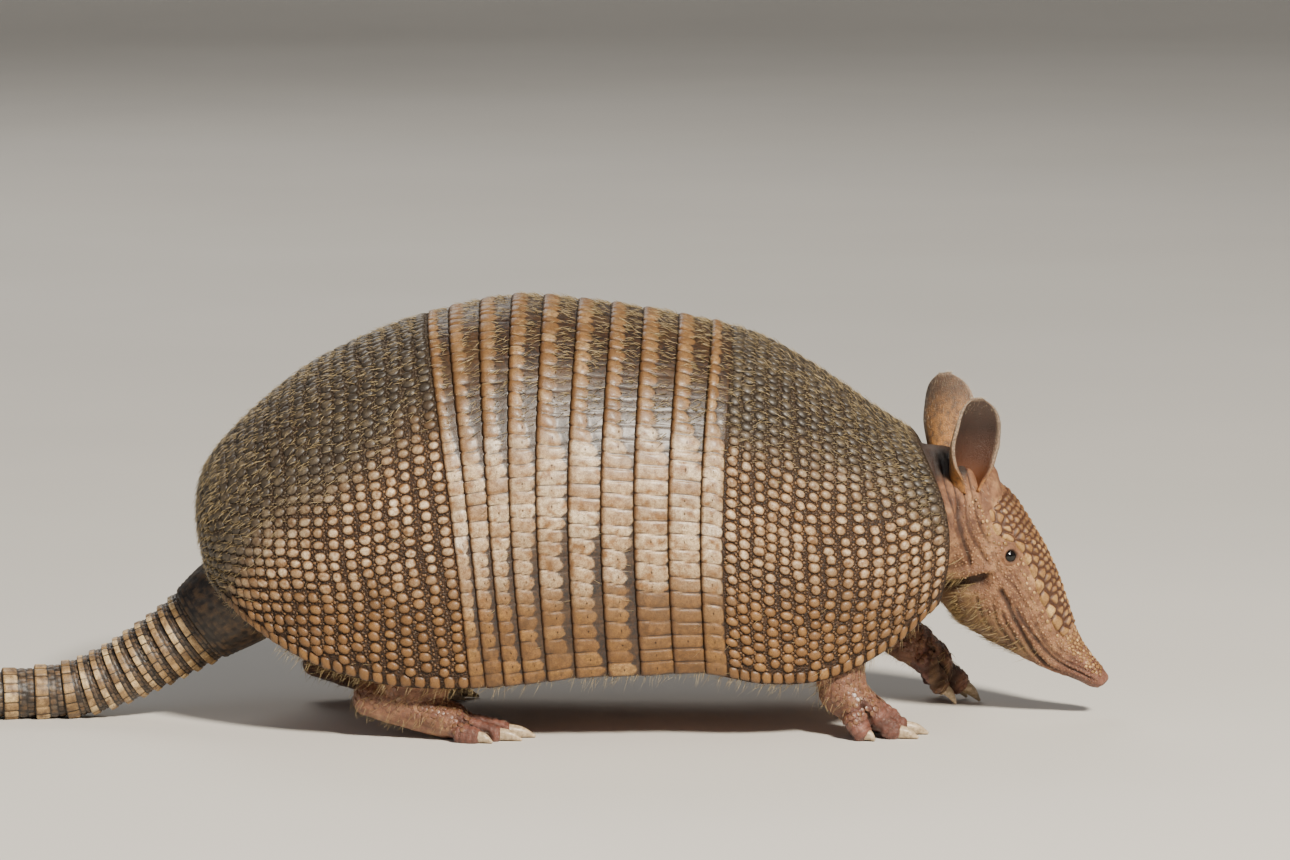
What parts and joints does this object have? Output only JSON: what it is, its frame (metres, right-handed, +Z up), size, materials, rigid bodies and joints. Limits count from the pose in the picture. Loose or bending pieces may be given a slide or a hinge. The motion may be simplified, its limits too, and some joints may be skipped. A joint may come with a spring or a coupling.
{
  "type": "armadillo",
  "caption": "Life-size standing armadillo with a banded shell, ringed tail laid on the floor, long ears and its snout held low to the ground.",
  "frame": {"origin": "middle of the floor area that the whole animal covers, at floor level", "axes": "+X towards the head, +Y to the animal's left, +Z up"},
  "size_m": [0.6456, 0.1428, 0.1661],
  "materials": {
    "shell": "bony shields of rounded scales, semi-matt",
    "band": "horny bands, satin",
    "skin": "bare leathery skin with sparse hair",
    "mask": "flat horny scales, satin",
    "tail": "rings of small plates, satin",
    "ear": "thin pebbled leathery skin",
    "eye": "glossy black",
    "claw": "horn, satin"
  },
  "bodies": {
    "root": {"band_1": "band", "band_2": "band", "band_3": "band", "band_4": "band", "band_5": "band", "band_6": "band", "band_7": "band", "band_8": "band", "band_9": "band", "ear_left": "ear", "ear_right": "ear", "eye_left": "eye", "eye_right": "eye", "foreleg_left": "skin", "foreleg_left_claw_1": "claw", "foreleg_left_claw_2": "claw", "foreleg_left_claw_3": "claw", "foreleg_left_claw_4": "claw", "foreleg_right": "skin", "foreleg_right_claw_1": "claw", "foreleg_right_claw_2": "claw", "foreleg_right_claw_3": "claw", "foreleg_right_claw_4": "claw", "head": "skin", "head_shield": "mask", "hindleg_left": "skin", "hindleg_left_claw_1": "claw", "hindleg_left_claw_2": "claw", "hindleg_left_claw_3": "claw", "hindleg_left_claw_4": "claw", "hindleg_left_claw_5": "claw", "hindleg_right": "skin", "hindleg_right_claw_1": "claw", "hindleg_right_claw_2": "claw", "hindleg_right_claw_3": "claw", "hindleg_right_claw_4": "claw", "hindleg_right_claw_5": "claw", "neck": "skin", "pelvic_shield": "shell", "scapular_shield": "shell", "tail_base": "tail", "tail_rings_1": "tail", "tail_rings_2": "tail", "tail_rings_3": "tail", "tail_tip": "tail", "trunk": "skin"}
  },
  "joints": []
}
